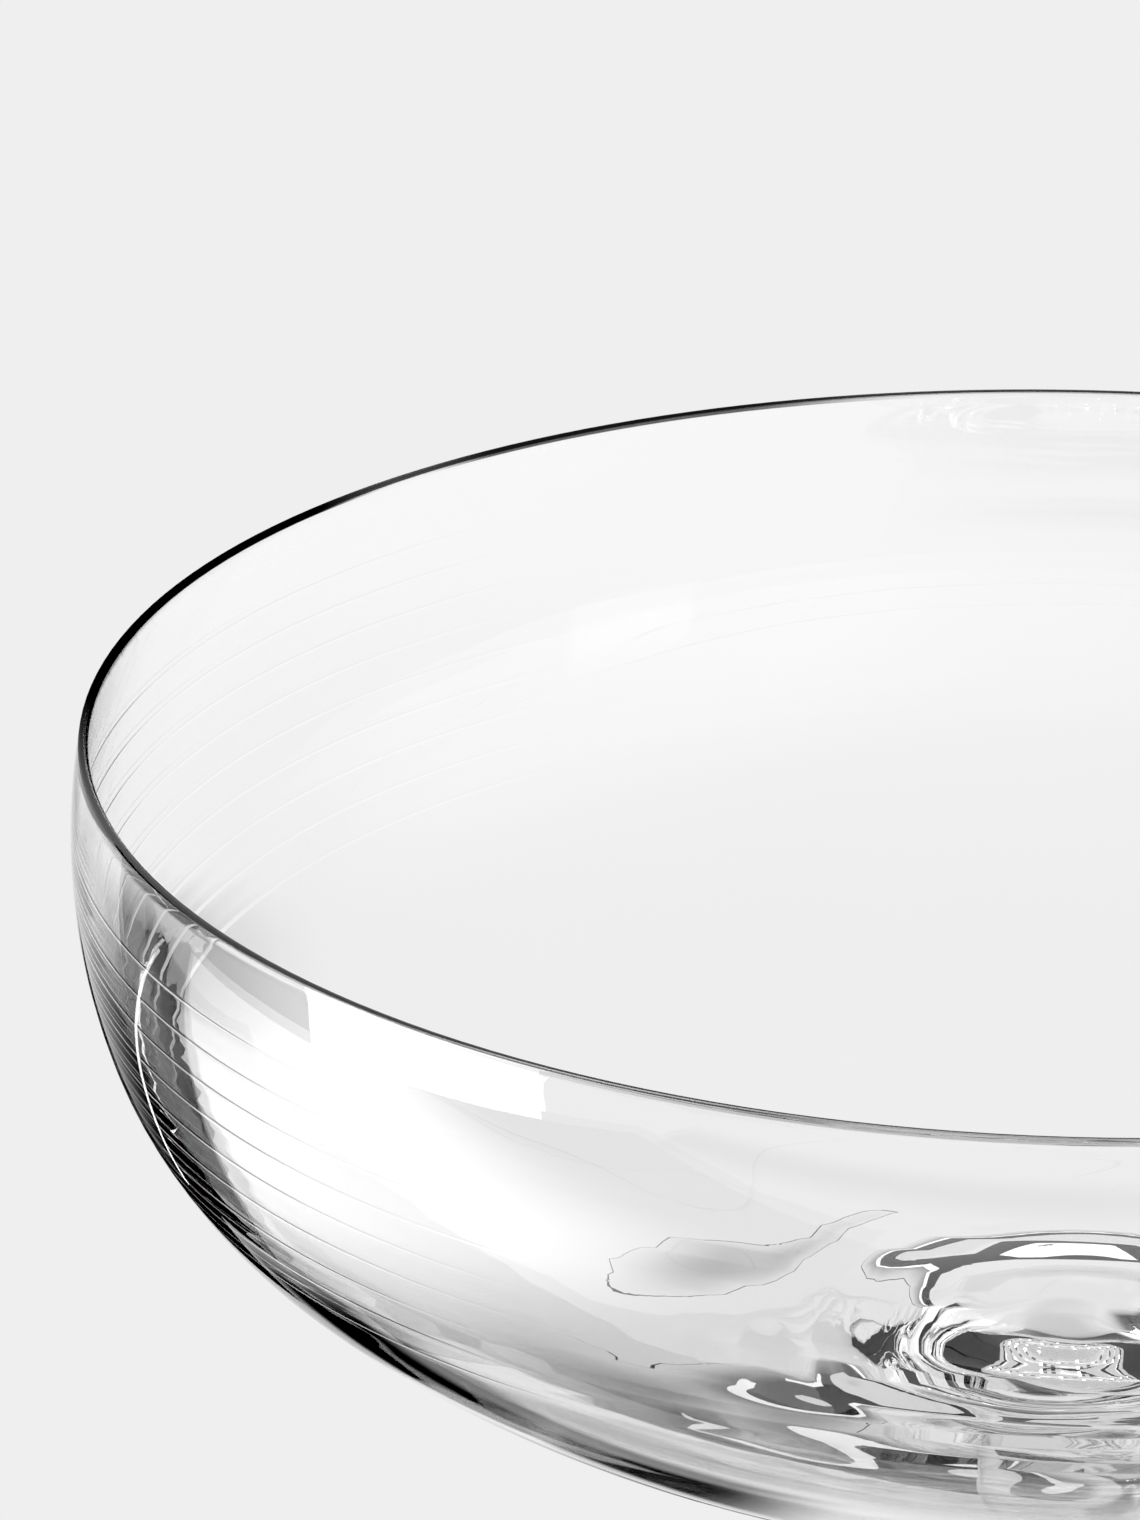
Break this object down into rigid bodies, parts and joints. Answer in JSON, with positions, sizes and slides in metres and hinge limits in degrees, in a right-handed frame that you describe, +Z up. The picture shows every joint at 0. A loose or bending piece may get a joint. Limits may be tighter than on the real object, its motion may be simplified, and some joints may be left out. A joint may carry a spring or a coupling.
{
  "type": "champagne coupe",
  "caption": "Clear glass champagne coupe: a wide, shallow blown bowl with a thin lip, on a solid drawn stem and a flat round foot, for serving sparkling wine.",
  "frame": {"origin": "on the glass's axis, level with the flat ring of the foot that stands on the table", "axes": "+Z up the axis of the glass, from the foot to the rim; X and Y are level and alike, because the glass is round"},
  "size_m": [0.1018, 0.1018, 0.1401],
  "materials": {
    "foot_glass": "fire-polished, clear",
    "stem_glass": "fire-polished, clear",
    "bowl_glass": "blown and fire-polished, clear"
  },
  "bodies": {
    "root": {"foot": "foot_glass", "stem": "stem_glass", "bowl": "bowl_glass"}
  },
  "joints": []
}
